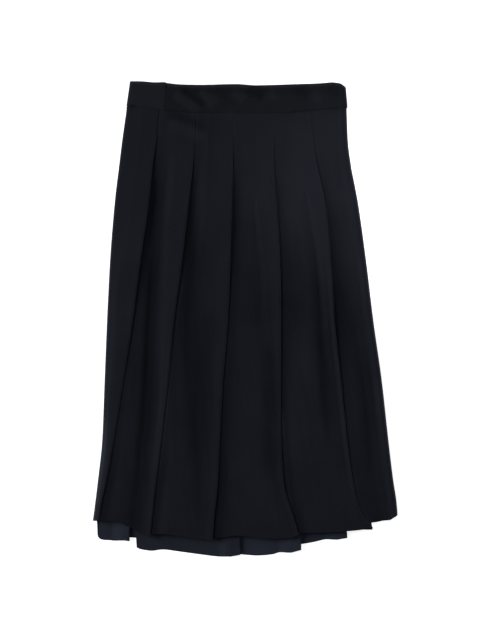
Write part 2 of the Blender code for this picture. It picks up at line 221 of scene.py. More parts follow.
BACK_HEMS = [
    [],
    [(0.45, 0.7135)],
    [(0.12, 0.7335), (0.55, 0.7360)],
    [
        (0.184, 0.7343), (0.448, 0.7291), (0.625, 0.7260), (0.757, 0.7281), (0.888, 0.7253),
        (0.918, 0.7236), (0.927, 0.7230), (0.934, 0.7068), (0.946, 0.7065),
    ],
    [],
]

# Drop of the hem in the left and the right side seam, and beside them on each panel. The heights
# of the front's shoulders there are given at the form drops.
LEFT_SEAM_HEM, RIGHT_SEAM_HEM = 0.678, 0.669
LEFT_FRONT_HEM, RIGHT_FRONT_HEM = 0.678, 0.6715
LEFT_BACK_HEM, RIGHT_BACK_HEM = 0.702, 0.671
LEFT_SHOULDER = mm(1.0, 1.9, 3.4, 4.3, 4.3)
RIGHT_SHOULDER = mm(1.9, 7.2, 6.9, 6.0, 6.0)

# The waist seam's drop, and the height of the waistband's top edge over the waist level, along X.
SEAM_X = mm(-188, -164, -140, -112, -66, 60, 110, 167)
SEAM_DROP = mm(-6.0, -4.6, -0.6, 3.0, 5.0, 5.0, 1.0, -3.3)
TOP_X = mm(-188, -173, -147, -134, -127, -107, -74, -15, 18, 84, 124, 144, 157, 163, 167)
TOP_HEIGHT = mm(
    47.9, 47.7, 45.9, 46.2, 44.6, 42.5, 41.8, 43.1, 41.1, 42.9, 44.3, 45.9, 44.3, 40.3, 36.5
)

# Waistband: X of its sides at the top edge and at the seam, the ends of the tab and the underlap,
# the width of its side folds, and the heights of its layers' middles above the surface below.
BAND_TOP_SIDES = mm(-190, 166.5)
BAND_SEAM_SIDES = mm(-196, 169.5)
BAND_FOLD = 0.0036
TAB_END = -0.132
UNDERLAP_END = -0.178
STEP_DOWN = 0.020       # length over which the front layer goes down to the underlap
FIRST_STEP = 0.14       # share of that length for its first, short step,
FIRST_DEPTH = 0.3       # which goes this share of the way down
BEFORE_TAB = 0.0022     # how much of that is in front of the tab
TAB_TAPER = 0.014       # length over which the tab thins to its pressed end
BACK_LAYER, UNDERLAP_LAYER, FRONT_LAYER, TAB_LAYER = mm(1.2, 4.2, 7.0, 6.6)
TAB_RISE = 0.0008       # how far the tab rises towards its end, which lies on the front layer
TAB_DROP = 0.0003       # how far it bends down again,
TAB_DROP_LENGTH = 0.003  # over its last part
TAB_THIN = 0.15         # the tab's thickness at its end, as a share of the band's
UPPER_LAYERS = 0.0058   # height above which a layer shows from above,
UPPER_SOFT = 0.0005     # which comes in over this height
BACK_REACH = 0.001      # height above the back layer's middle up to which its seam is lowered
TAB_CREASES = 0.4       # height of the creases on the tab, as a share of the band's
BAND_DEPTH = 0.046      # from the seam to the top edge
BAND_ROUND = 0.0018     # depth of the band's rounded edges,
BAND_EDGE = 0.15        # whose last thickness is this share of the band's
BAND_WAVE = 0.0002      # height of the slow waves in the band's front,
BAND_WAVES = 0.05       # and their lengths
TOP_DIP = 0.0006        # how far the top edge bends down,
TOP_START = 0.86        # from this share of the band's depth on
TOP_HIGHLIGHT_SOFT = 0.06         # share of the depth over which its painted highlight comes in

# The band's columns and rows. The last ones lie close together at each end and edge.
BAND_ENDS = np.array([0.0, 0.0002, 0.0007])
BAND_ENDS_START = 0.0016
BAND_EDGES = np.array([0.0, 0.004, 0.015, 0.035])
BAND_ROWS = np.linspace(0.06, 0.94, 34)
TAB_COLUMNS = 40        # columns of the tab and of the start of its fold,
TAB_END_COLUMNS = 5     # of the tab's end,
TAB_RUN = 34            # between the tab's end and its fold,
FOLD_RUN = 15           # of a side fold,
LONG_RUN = 140          # of the back and the front,
STEP_RUNS = 8, 12       # of the front layer's step down,
UNDERLAP_RUN = 16       # and of the underlap

# A soft crease, given one by one. x and drop: its line. width: from its middle to where a third of
# its height is left. height: how far it stands out, or less than nothing for a trough.
Crease = namedtuple("Crease", "x drop width height")
CREASE_ENDS = 0.2       # share of its length over which it fades out at each end
CREASE_POINTS = 41      # along its line, for the distance to it

CREASES = [
    Crease(mm(-118, -96, -72), mm(-28, -14, 4), 0.007, 0.0010),
    Crease(mm(-108, -84, -58), mm(-38, -22, -4), 0.007, -0.0012),
    Crease(mm(-76, -60, -46), mm(-34, -20, -8), 0.008, 0.0009),
    Crease(mm(-48, -34, -16), mm(-38, -24, -8), 0.006, -0.0005),
    Crease(mm(-24, -8, 2), mm(-32, -24, -16), 0.008, 0.0008),
    Crease(mm(4, 22, 34), mm(-40, -30, -18), 0.009, -0.0015),
    Crease(mm(36, 44, 52), mm(-36, -26, -14), 0.008, 0.0006),
    Crease(mm(86, 95, 104), mm(-40, -28, -14), 0.009, -0.0008),
    Crease(mm(112, 118, 124), mm(-36, -24, -10), 0.008, 0.0006),
    Crease(mm(138, 147, 154), mm(-42, -32, -20), 0.008, -0.0008),
    Crease(mm(-134, -112, -90, -52), mm(5, 10, 18, 38), 0.006, -0.0007),
    Crease(mm(-130, -98, -60), mm(25, 32, 50), 0.008, 0.0005),
    Crease(mm(-190, -184, -178), mm(-7.5, -6.5, -6), 0.0016, -0.0022),
    Crease(mm(-39, -27, -15), mm(3.5, 3.8, 3.8), 0.0016, 0.0006),
    Crease(mm(79, 81, 83), mm(2, 2.2, 2.4), 0.0018, -0.0012),
    Crease(mm(135, 146, 157), mm(-1.5, -1.8, -2.2), 0.0018, -0.0010),
    Crease(mm(-120, -60, 0, 60, 110, 164), mm(-30, -31, -30, -31, -31, -33), 0.006, -0.0006),
    Crease(mm(-131, -130.5, -130), mm(-50, -44, -36), 0.0022, -0.0014),
    Crease(mm(62, 65, 68.5, 74, 82), mm(490, 530, 590, 635, 675), 0.0024, 0.0009),
    Crease(mm(-173, -170, -167), mm(-15, -13.5, -12), 0.003, 0.0005),
    Crease(mm(-146.5, -143.5, -140.5), mm(-15, -13.5, -12), 0.003, 0.0006),
]

# An attribute of wear and painted light and shade makes the cloth paler where it is more than 0 and
# darker where it is less. Most of it is painted light and shade: painted shadow in hollows and
# beside fold edges, painted light where folds cast shadow, and painted highlights on edges. Some of
# it is wear on crests. A strip of it follows a line. place: its middle, this far beyond the line.
# width: how far it reaches to each side. Its third value is the shift in its middle. A ramp is
# where a change comes in, in metres from its start and over its length.
Strip = namedtuple("Strip", "place width worn")
Ramp = namedtuple("Ramp", "start length")

# Beyond the front's fold edges, painted light and shade where the folds' shadows fall: on a
# stitched one, painted light over its groove's shadow; in the ditch right beside an open one,
# painted light over the fold's shadow; on the open one itself, painted shade; and in the hollow
# further on, painted shadow.
STITCHED = Strip(0.0, 0.0014, 0.22)
DITCH = Strip(0.0015, 0.0013, 0.9)
OPEN_EDGE = Strip(-0.0015, 0.0015, -0.5)
HOLLOW = Strip(0.009, 0.006, -0.45)
FIRST_STITCHED = -0.6   # painted shade on the first pleat's stitched edge,
AFTER_FIRST = Ramp(-0.14, 0.04)  # and X where it changes to that of the others
RIGHT_HOLLOW = -0.2     # painted shadow in the hollows of the two pleats on the right,
RIGHT_PLEATS = Ramp(0.03, 0.03)  # and X where it changes to that
HEM_DEEPER = 2.0        # the hollows' painted shadow at the hem, as a multiple,
NEAR_HEM = Ramp(0.54, 0.08)      # and the drop where it changes to that

LOW, LOW_SOFT = 0.0034, 0.003    # painted shade darkens the front below this height, over so much,
LOW_PART = Ramp(0.13, 0.18)      # from this drop on
LEFT_PAINTED_SHEEN = Strip(0.005, 0.006, 0.9)  # painted sheen highlight in from the front's left side,
LEFT_PART = Ramp(0.50, 0.06)     # from this drop on
MIDDLE_PAINTED_SHADE = Strip(0.037, 0.013, -0.6)  # painted shade right of X = 0, before the fourth pleat,
MIDDLE_PART, MIDDLE_SOFT = (0.36, 0.64), 0.06  # between these drops

# On the back's inner side, which shows below the front hem, painted light and shade: painted shade
# in the dip before its middle fold and painted light on the fold itself, over its shadow, beyond X
# = 0. Then the X of each change in its painted light and shade, and by how much.
INNER_STRIPS = [Strip(-0.021, 0.011, -0.6), Strip(-0.0065, 0.003, 1.6)]
INNER_CHANGES = [
    (Ramp(-0.195, 0.010), -0.6),
    (Ramp(-0.008, 0.010), 1.9),
    (Ramp(0.012, 0.035), -0.9),
]

FULL_CREASE = 0.0010    # height or depth of a crease whose painted tone is full; troughs get painted shade
PANEL_CREST, BAND_CREST = 0.3, 0.4  # the most paleness on a crease's crest, part wear and part painted highlight
TAB_PALER = 0.45          # how much paler the tab is painted,
TAB_END_PAINTED_LIGHT = 0.2       # painted light at the tab's end, over the shadow of its edge,
TOP_PAINTED_HIGHLIGHT = 1.2           # and painted highlight along the band's top edge


# ---- lengths that change down the skirt -------------------------------------------------------
def smooth(stations, values, at):
    """Values between the stations, on a cubic that passes through them and never overshoots."""
    at = np.clip(at, stations[0], stations[-1])
    step = np.diff(stations)
    slope = np.diff(values) / step
    same_way = slope[:-1] * slope[1:] > 0.0
    total = np.where(same_way, slope[:-1] + slope[1:], 1.0)
    inner = np.where(same_way, 2.0 * slope[:-1] * slope[1:] / total, 0.0)
    tangent = np.concatenate([slope[:1], inner, slope[-1:]])
    i = np.clip(np.searchsorted(stations, at, side="right") - 1, 0, len(step) - 1)
    u = (at - stations[i]) / step[i]
    level = values[i] * (1 + 2 * u) * (1 - u) ** 2 + values[i + 1] * (3 - 2 * u) * u**2
    return level + step[i] * (tangent[i] * u * (1 - u) ** 2 - tangent[i + 1] * (1 - u) * u**2)


def ease(value):
    """0 below 0, 1 above 1, and 3v^2 - 2v^3 between."""
    value = np.clip(value, 0.0, 1.0)
    return value * value * (3.0 - 2.0 * value)


def ramp(value, over):
    """0 up to a ramp's start, and 1 from its end on."""
    return ease((value - over.start) / over.length)


def between(value, low, high, soft):
    """1 between low and high, and 0 beyond them, with a soft change inside each."""
    return ease((value - low) / soft) * ease((high - value) / soft)


def blend(first, last, share):
    return first + (last - first) * share


class Along:
    """A length as a function of the drop, which adds, subtracts and scales like a number."""

    def __init__(self, rule):
        self.rule = rule if callable(rule) else lambda drop: rule + 0.0 * drop

    def __call__(self, drop):
        return self.rule(drop)

    def __add__(self, other):
        other = as_along(other)
        return Along(lambda drop: self(drop) + other(drop))

    def __mul__(self, other):
        other = as_along(other)
        return Along(lambda drop: self(drop) * other(drop))

    def __sub__(self, other):
        return self + as_along(other) * -1.0


def as_along(value):
    return value if isinstance(value, Along) else Along(value)


def fold_line(values, drops=LINE_DROPS):
    """X of a line that runs down the skirt."""
    return Along(lambda drop: smooth(drops, values, drop))


def form(values):
    """A depth, height or share that changes from waist to hem."""
    return Along(lambda drop: smooth(FORM_DROPS, np.asarray(values), drop))


FLAT = Along(0.0)
BACK_STACK = form(2.0 * BACK_PITCH)                     # height of the back's outer layer
BACK_FOLD = BACK_STACK * 0.25                           # radius of the back's folds
FRONT_FLOOR = BACK_STACK + LAYER_PITCH                  # from the back's outer layer to the front
SIDE_JOIN = (FRONT_FLOOR + LAYER_PITCH) * 0.5           # the side seams, halfway up


def seam_step(x):
    """How much lower the waist seam lies on the back: nothing at the sides, SEAM_STEP between."""
    (left, right), inset = BAND_SEAM_SIDES, BAND_FOLD * 1.5
    return SEAM_STEP * between(x, left + inset, right - inset, SEAM_EASE)


def crease_height(x, drop, creases):
    """Each crease is height * exp(-(d / width)^2), d being the distance to its line, and fades out
    at its ends."""
    total = np.zeros(np.broadcast(x, drop).shape)
    t = np.linspace(0.0, 1.0, CREASE_POINTS)
    for crease in creases:
        stations = np.linspace(0.0, 1.0, len(crease.x))
        line_x, line_drop = smooth(stations, crease.x, t), smooth(stations, crease.drop, t)
        square = (x[..., None] - line_x) ** 2 + (drop[..., None] - line_drop) ** 2
        nearest = np.argmin(square, axis=-1)
        distance = np.take_along_axis(square, nearest[..., None], -1)[..., 0]
        fade = between(t[nearest], 0.0, 1.0, CREASE_ENDS)
        total += crease.height * fade * np.exp(-distance / crease.width**2)
    return total


def drift(x, drop, across, down, seed):
    """Slow, uneven waves between -1 and 1: six sines whose lengths are near across and down."""
    rng = np.random.default_rng(seed)
    sines, total = 6, 0.0
    for _ in range(sines):
        a, b = rng.uniform(0.6, 1.5, 2)
        turn = rng.uniform(0.0, 2.0 * np.pi)
        total = total + np.sin(2.0 * np.pi * (x * a / across + drop * b / down) + turn)
    return total / sines


# ---- a pleated panel --------------------------------------------------------------------------
# Places of a pleat's columns: from over its inner fold (0) to its fold edge (1) on the top, the
# same on the underlay below it, and from the inner fold (0) out to the next panel (1). Then the
# directions of the columns round its fold edge, its inner fold and the roll at a panel's side.
TOP_SHARES = (0.0, 0.2, 0.4, 0.6, 0.8, 0.92, 1.0)
UNDER_SHARES = (1.0, 0.92, 0.75, 0.4, 0.15, 0.0)
OUT_SHARES = (0.0, 0.85, 1.0)
EDGE_TURNS = np.radians([60.0, 20.0, -20.0, -60.0])
INNER_TURNS = np.radians([120.0, 160.0, 200.0, 240.0])
SIDE_TURNS = np.radians([0.0, 15.0, 30.0, 45.0, 60.0, 75.0, 90.0])


class Panel:
    """Key columns across a panel, in order along its cloth, each from the waist seam to the hem."""

    def __init__(self, facing, outer_fold, inner_fold, seam_height):
        self.facing = facing            # 1 for the front, -1 for the back, whose X is reversed
        self.outer_fold = outer_fold    # radii of the pleats' folds
        self.inner_fold = inner_fold
        self.seam_height = seam_height  # height of the panel's ends in the side seams
        self.columns = []

    def add(self, hem, x, height):
        """One column. Its last rows lie close together, where the hem's edge is rounded."""
        seam_x = self.facing * x(np.zeros(1))[0]
        top = smooth(SEAM_X, SEAM_DROP, seam_x) + SEAM_GAP + (self.facing < 0) * seam_step(seam_x)
        share = np.linspace(0.0, 1.0, ROWS - len(HEM_ROWS))
        drop = np.concatenate([blend(top, hem - HEM_START, share), hem - HEM_ROWS])
        self.columns.append((drop, x(drop), height(drop)))

    def side(self, side_x, inwards, shoulder, seam_hem, hem):
        """The roll at a side: a quarter of an ellipse between the side seam and its shoulder."""
        for turn in SIDE_TURNS if inwards > 0 else SIDE_TURNS[::-1]:
            across = 1.0 - np.cos(turn)
            self.add(
                blend(seam_hem, hem, across),
                side_x + inwards * (CLOTH / 2 + SIDE_ROLL * across),
                blend(self.seam_height, shoulder, np.sin(turn)),
            )

    def rolls(self, start, end, rolls, swell):
        """The open part of a panel, with a column on each roll and one halfway to the next.

        start and end are the X, height and hem of the columns before and after, and swell is how
        far the whole of it stands up between pleats that are stitched shut.
        """
        (start_x, start_height, start_hem), (end_x, end_height, end_hem) = start, end
        shares = [FLAT] + [form(roll.share) for roll in rolls] + [Along(1.0)]
        heights = [start_height] + [form(roll.height) + swell for roll in rolls] + [end_height]
        hems = [start_hem] + [roll.hem for roll in rolls] + [end_hem]
        for i in range(len(rolls) + 1):
            for part in (0.5, 1.0):
                if i < len(rolls) or part < 1.0:
                    share = blend(shares[i], shares[i + 1], part)
                    height = blend(heights[i], heights[i + 1], part)
                    hem = blend(hems[i], hems[i + 1], part)
                    self.add(hem, blend(start_x, end_x, share), height)

    def pleat(self, pleat, edge, top_at):
        """A pleat: over its own underlay, round the fold edge, back under it and out again.

        edge is the fold edge's X. The panel starts to pass over the inner fold at over_root, and
        top_at(share) is its height from there (0) to the fold edge (1). The underlay follows it
        from below.
        """
        depth, over_root = form(pleat.depth), over_root_x(pleat, edge)
        outer, inner = self.outer_fold, self.inner_fold
        outer_x = edge - outer - CLOTH / 2
        inner_x = edge - depth + inner + CLOTH / 2
        root_room = top_at(0.0) - inner * 2.0
        for share in TOP_SHARES:
            hem = blend(pleat.foot_hem, pleat.hem, share)
            self.add(hem, blend(over_root, outer_x, share), top_at(share))
        for turn in EDGE_TURNS:
            x, height = outer_x + outer * np.cos(turn), top_at(1.0) + outer * (np.sin(turn) - 1.0)
            self.add(pleat.hem, x, height)
        for share in UNDER_SHARES:
            hem = blend(pleat.root_hem, pleat.hem, share)
            height = top_at(share) - blend(root_room, outer * 2.0, share)
            self.add(hem, blend(inner_x, outer_x, share), height)
        for turn in INNER_TURNS:
            x, height = inner_x + inner * np.cos(turn), inner * (1.0 + np.sin(turn))
            self.add(pleat.root_hem, x, height)
        for share in OUT_SHARES:
            hem = blend(pleat.root_hem, pleat.next_hem, share)
            self.add(hem, blend(inner_x, edge, share), FLAT)

    def surface(self):
        """X, drop and height on a fine grid, a row for each section.

        Across the panel each row is a Catmull-Rom cubic through its key columns, whose knots are
        the square roots of the distances between them.
        """
        keys = np.stack([np.stack(column, axis=-1) for column in self.columns])
        step = np.diff(keys, axis=0)
        length = np.hypot(step[..., 1], step[..., 2]).mean(axis=1)
        span = np.sqrt(length)[:, None, None]
        slope = step / span
        inner = (slope[:-1] * span[1:] + slope[1:] * span[:-1]) / (span[1:] + span[:-1])
        tangent = np.concatenate([slope[:1], inner, slope[-1:]])
        counts = np.maximum(np.ceil(length / SPACING).astype(int), 1)
        i = np.append(np.repeat(np.arange(len(counts)), counts), len(counts) - 1)
        first = np.repeat(np.cumsum(counts) - counts, counts)
        u = (np.arange(counts.sum()) - first) / np.repeat(counts, counts)
        u = np.append(u, 1.0)[:, None, None]
        grid = keys[i] * (1 + 2 * u) * (1 - u) ** 2 + keys[i + 1] * (3 - 2 * u) * u**2
        grid += span[i] * (tangent[i] * u * (1 - u) ** 2 - tangent[i + 1] * (1 - u) * u**2)
        drop, x, height = np.moveaxis(grid, (2, 1), (0, 1))
        return self.facing * x, drop, height


def over_root_x(pleat, edge):
    """X where a panel starts to pass over the inner fold of its pleat."""
    return edge - form(pleat.depth) - CLOTH


def top_line(pleat, foot, rise, share):
    """Height of a pleat's top: foot + (rise - foot) * share^curve, less the dip in the middle."""
    return blend(foot, rise, share**pleat.curve) - form(pleat.dip) * (4.0 * share * (1.0 - share))


def opening(pleat):
    """How far a pleat is open: 0 in its stitching, a little right below it, then slowly up to 1."""

    def rule(drop):
        below = drop - pleat.stitched
        return GAPE * ease(below / GAPE_LENGTH) + (1.0 - GAPE) * ease(below / pleat.opening)

    return Along(rule)


def front_surface():
    """Middle surface, half thickness, and wear with painted light and shade of the front panel.

    It has open rolls between knife pleats that stand on edge. A pleat is pressed shut as far as it
    is stitched, and opens below that.
    """
    seam_height = SIDE_JOIN - FRONT_FLOOR + (SEAM_GAP - CLOTH) / 2
    panel = Panel(1, form(OUTER_FOLD), form(INNER_FOLD), seam_height)
    left, right = fold_line(LEFT_SIDE), fold_line(RIGHT_SIDE)
    left_shoulder, right_shoulder = form(LEFT_SHOULDER), form(RIGHT_SHOULDER)
    least = panel.inner_fold * 2.0 + LEAST_FOOT
    panel.side(left, 1, left_shoulder, LEFT_SEAM_HEM, LEFT_FRONT_HEM)
    start = (left + (CLOTH / 2 + SIDE_ROLL), left_shoulder, LEFT_FRONT_HEM)
    swell = FLAT
    for pleat, rolls in zip(FRONT_PLEATS, FRONT_ROLLS):
        edge = fold_line(pleat.edge)
        opened = opening(pleat)
        foot = least + (form(pleat.foot) - least) * opened
        rise = least + (form(pleat.rise) - least) * opened
        panel.rolls(start, (over_root_x(pleat, edge), foot, pleat.foot_hem), rolls, swell)
        panel.pleat(pleat, edge, lambda share: top_line(pleat, foot, rise, share))
        swell = (Along(1.0) - opened) * STITCHED_SWELL
        beside_x = edge + opened * BESIDE_OPEN + BESIDE_SHUT
        beside = form(pleat.beside) * opened + swell
        panel.add(pleat.next_hem, beside_x, beside - BESIDE_DIP)
        panel.add(pleat.next_hem, beside_x + BESIDE_BEND, beside)
        panel.add(pleat.next_hem, beside_x + BESIDE, beside)
        start = (beside_x + BESIDE, beside, pleat.next_hem)
    end = (right - (CLOTH / 2 + SIDE_ROLL), right_shoulder, RIGHT_FRONT_HEM)
    panel.rolls(start, end, FRONT_ROLLS[-1], swell)
    panel.side(right, -1, right_shoulder, RIGHT_SEAM_HEM, RIGHT_FRONT_HEM)
    x, drop, height = panel.surface()
    inside = between(x, left(drop), right(drop), SIDE_FADE)
    waves = drift(x, drop, WAVE_ACROSS, WAVE_DOWN, seed=11)
    creases = crease_height(x, drop, CREASES)
    lift = FRONT_LIFT + FRONT_WAVE * waves * ease(drop / WAVE_START) + creases
    wear_and_painted_light = front_wear_and_painted_light(x, drop, height, creases, inside)
    # Painted sheen highlight along the front's left side, low down.
    wear_and_painted_light += LEFT_PAINTED_SHEEN.worn * strip(x - left(drop), LEFT_PAINTED_SHEEN) * ramp(drop, LEFT_PART)
    y = WAIST_LEVEL - drop
    return x, y, CLOTH / 2 + FRONT_FLOOR(drop) + height + lift * inside, panel_half(y), wear_and_painted_light


def front_wear_and_painted_light(x, drop, height, creases, inside):
    """Painted shade darkens the front's low parts, the hollows of the open part, the creases'
    troughs, the open fold edges, the first pleat's stitched edge and a strip before the fourth
    pleat. Painted light lifts the other stitched fold edges and the ditches beside open ones, where
    the folds cast shadow. The creases' crests are paler, partly wear and partly painted highlight."""
    # Painted shade in the front's low parts, from the low-part drop on.
    wear_and_painted_light = -ease((LOW - height) / LOW_SOFT) * ramp(drop, LOW_PART) * inside
    wear_and_painted_light += np.clip(creases / FULL_CREASE, -1.0, PANEL_CREST) * inside
    stitched = blend(FIRST_STITCHED, STITCHED.worn, ramp(x, AFTER_FIRST))
    hollow = blend(HOLLOW.worn, RIGHT_HOLLOW, ramp(x, RIGHT_PLEATS))
    hollow *= blend(1.0, HEM_DEEPER, ramp(drop, NEAR_HEM))
    for pleat in FRONT_PLEATS:
        beyond, opened = x - fold_line(pleat.edge)(drop), opening(pleat)(drop)
        # Painted light on stitched fold edges, painted shadow in the hollows, painted light in the
        # ditches and painted shade on the open edges.
        wear_and_painted_light += (1.0 - opened) * stitched * strip(beyond, STITCHED)
        wear_and_painted_light += opened * hollow * strip(beyond, HOLLOW)
        for line in (DITCH, OPEN_EDGE):
            wear_and_painted_light += opened * line.worn * strip(beyond, line)
    middle = between(drop, *MIDDLE_PART, MIDDLE_SOFT)
    return wear_and_painted_light + MIDDLE_PAINTED_SHADE.worn * strip(x, MIDDLE_PAINTED_SHADE) * middle


def strip(beyond, where):
    """1 in a strip's middle, fading out over its width to each side. beyond: X beyond its line."""
    return np.exp(-(((beyond - where.place) / where.width) ** 2))


def back_surface():
    """Middle surface, half thickness and painted light and shade of the back panel, whose outer
    layer lies flat.
    """
    seam_height = BACK_STACK - SIDE_JOIN + (SEAM_GAP + CLOTH) / 2
    panel = Panel(-1, BACK_FOLD, BACK_FOLD, seam_height)
    panel.side(fold_line(-RIGHT_SIDE), 1, BACK_STACK, RIGHT_SEAM_HEM, RIGHT_BACK_HEM)
    edges = [fold_line(pleat.edge, BACK_LINE_DROPS) for pleat in BACK_PLEATS]
    ends = [over_root_x(pleat, edge) for pleat, edge in zip(BACK_PLEATS[1:], edges[1:])]
    ends.append(fold_line(-LEFT_SIDE))
    for pleat, edge, end, hems in zip(BACK_PLEATS, edges, ends, BACK_HEMS):
        panel.pleat(pleat, edge, lambda share: BACK_STACK)
        panel.add(pleat.next_hem, edge + BACK_SETTLE / 3, BACK_FOLD)
        panel.add(pleat.next_hem, edge + BACK_SETTLE, BACK_STACK)
        for i, (share, hem) in enumerate(hems):
            even = (i + 1) / (len(hems) + 1)  # columns close together at the hem spread out above
            spread = fold_line(np.array([even, share, share]), SPREAD_DROPS)
            panel.add(hem, blend(edge + BACK_SETTLE, end, spread), BACK_STACK)
    panel.side(Along(free_side), -1, BACK_STACK, LEFT_SEAM_HEM, LEFT_BACK_HEM)
    x, drop, height = panel.surface()
    y = WAIST_LEVEL - drop
    # Painted light and shade on the back's inner side below the front hem.
    wear_and_painted_light = sum(change * ramp(x, where) for where, change in INNER_CHANGES)
    wear_and_painted_light += sum(line.worn * strip(x, line) for line in INNER_STRIPS)
    return x, y, CLOTH / 2 + np.maximum(BACK_STACK(drop) - height, 0.0), panel_half(y), wear_and_painted_light


def free_side(drop):
    """The back's side on the skirt's left, with X reversed, whose free corner lies further in."""
    tucked = FREE_TUCK * ease((drop - TUCK_DROP) / TUCK_LENGTH)
    return -smooth(LINE_DROPS, LEFT_SIDE, drop) - tucked


# ---- the waistband ----------------------------------------------------------------------------
def band_strip():
    """X and Z along the band: tab, left fold, back, right fold, front, and down to the underlap."""
    left, right = (BAND_SEAM_SIDES + BAND_TOP_SIDES) / 2
    left += BAND / 2 + BAND_FOLD
    right -= BAND / 2 + BAND_FOLD
    step_x = TAB_END + BEFORE_TAB  # where the front layer starts to go down
    tab_run = np.linspace(TAB_END - BAND_ENDS_START, left, TAB_RUN)[:-1]
    tab = np.concatenate([TAB_END - BAND_ENDS, tab_run])
    rise = TAB_RISE * (tab - left) / (TAB_END - left)
    tab_z = TAB_LAYER + rise - TAB_DROP * ease(1.0 - (TAB_END - tab) / TAB_DROP_LENGTH)
    turns = np.linspace(0.0, np.pi, FOLD_RUN)
    out, over = BAND_FOLD * np.sin(turns), (1 - np.cos(turns)) / 2
    first, last = STEP_RUNS
    down = [np.linspace(0.0, FIRST_STEP, first)[1:], np.linspace(FIRST_STEP, 1.0, last)[1:]]
    down = np.concatenate(down)
    lowered = FIRST_DEPTH * ease(down / FIRST_STEP) + (1.0 - FIRST_DEPTH) * ease(down)
    foot, underlap_start = step_x - STEP_DOWN, UNDERLAP_END + BAND_ENDS_START
    runs = [
        (tab, tab_z),
        (left - out, blend(TAB_LAYER, BACK_LAYER, over)),
        (np.linspace(left, right, LONG_RUN)[1:-1], BACK_LAYER),
        (right + out, blend(BACK_LAYER, FRONT_LAYER, over)),
        (np.linspace(right, step_x, LONG_RUN)[1:], FRONT_LAYER),
        (step_x - STEP_DOWN * down, blend(FRONT_LAYER, UNDERLAP_LAYER, lowered)),
        (np.linspace(foot, underlap_start, UNDERLAP_RUN)[1:], UNDERLAP_LAYER),
        (UNDERLAP_END + BAND_ENDS[::-1], UNDERLAP_LAYER),
    ]
    return np.concatenate([x for x, z in runs]), np.concatenate([z + 0.0 * x for x, z in runs])


def band_surface():
    """The band's middle surface in rows from the seam to the top edge, and half its thickness.

    The thickness follows half an ellipse into each edge and each end.
    """
    x, z = band_strip()
    rows = np.concatenate([BAND_EDGES, BAND_ROWS, 1.0 - BAND_EDGES[::-1]])[:, None]
    left, right = (BAND_SEAM_SIDES + BAND_TOP_SIDES) / 2
    across = (x - left) / (right - left)
    seam_x = blend(*BAND_SEAM_SIDES, across)
    top_x = blend(*BAND_TOP_SIDES, across)
    step = seam_step(seam_x) * (z < BACK_LAYER + BACK_REACH)
    seam_y = WAIST_LEVEL - smooth(SEAM_X, SEAM_DROP, seam_x) - step
    top_y = WAIST_LEVEL + smooth(TOP_X, TOP_HEIGHT, top_x)
    x_grid, y_grid = blend(seam_x, top_x, rows), blend(seam_y, top_y, rows)
    along = np.arange(len(x))
    upper = ease((z - UPPER_LAYERS) / UPPER_SOFT)
    creases = crease_height(x_grid, WAIST_LEVEL - y_grid, CREASES)
    lift = creases * (upper * blend(TAB_CREASES, 1.0, along > TAB_COLUMNS))
    # Painted shade in the creases' troughs; their crests paler, part wear and part painted
    # highlight.
    wear_and_painted_light = np.clip(lift / FULL_CREASE, -1.0, BAND_CREST) * upper
    # The tab painted paler, and painted light at its end over the shadow of its edge.
    wear_and_painted_light = wear_and_painted_light + TAB_PALER * (along < TAB_COLUMNS) + TAB_END_PAINTED_LIGHT * (along < TAB_END_COLUMNS)
    # Painted highlight along the band's top edge, where it bends back towards the light.
    wear_and_painted_light = wear_and_painted_light + TOP_PAINTED_HIGHLIGHT * ease((rows - TOP_START) / TOP_HIGHLIGHT_SOFT) * upper
    lift = lift - TOP_DIP * ease((rows - TOP_START) / (1.0 - TOP_START)) * upper
    lift = lift + BAND_WAVE * drift(x_grid, y_grid, BAND_WAVES, BAND_WAVES, seed=23) * upper
    from_tab = np.abs(x - x[0]) + (along > len(x) / 2)  # 1 m more in the half without that end
    from_underlap = np.abs(x - x[-1]) + (along < len(x) / 2)
    from_side = np.minimum(rows, 1.0 - rows) * BAND_DEPTH
    from_edge = np.minimum(from_side, np.minimum(from_tab, from_underlap))
    inset = np.clip(1.0 - from_edge / BAND_ROUND, 0.0, 1.0)
    half = BAND / 2 * np.maximum(np.sqrt(1.0 - inset**2), BAND_EDGE)
    thin = 1.0 - ease(from_tab / TAB_TAPER)
    half = half * blend(1.0, TAB_THIN, thin)
    lift = lift + BAND / 2 * (1.0 - TAB_THIN) * thin
    return x_grid, y_grid, z + lift, half, wear_and_painted_light


# ---- meshes -----------------------------------------------------------------------------------
def quads(a, b, c, d):
    return np.stack([a, b, c, d], axis=-1).reshape(-1, 4)


def rim(outer, inner):
    """Quads that close a piece of cloth along one of its edges."""
    return quads(outer[:-1], outer[1:], inner[1:], inner[:-1])


def inward_normals(middle):
    """A surface's normals: the cross product of its directions along the cloth and down it.

    Upright ends meet in the side seams and are cut level.
    """
    along, down = np.gradient(middle, axis=1), np.gradient(middle, axis=0)
    normal = np.cross(along, down)
    normal /= np.linalg.norm(normal, axis=-1, keepdims=True)
    for end in (0, -1):
        sideways = np.abs(along[:, end, 2]) > np.abs(along[:, end, 0])
        level = np.sign(normal[:, end, :1]) * np.array([1.0, 0.0, 0.0])
        normal[:, end] = np.where(sideways[:, None], level, normal[:, end])
    return normal


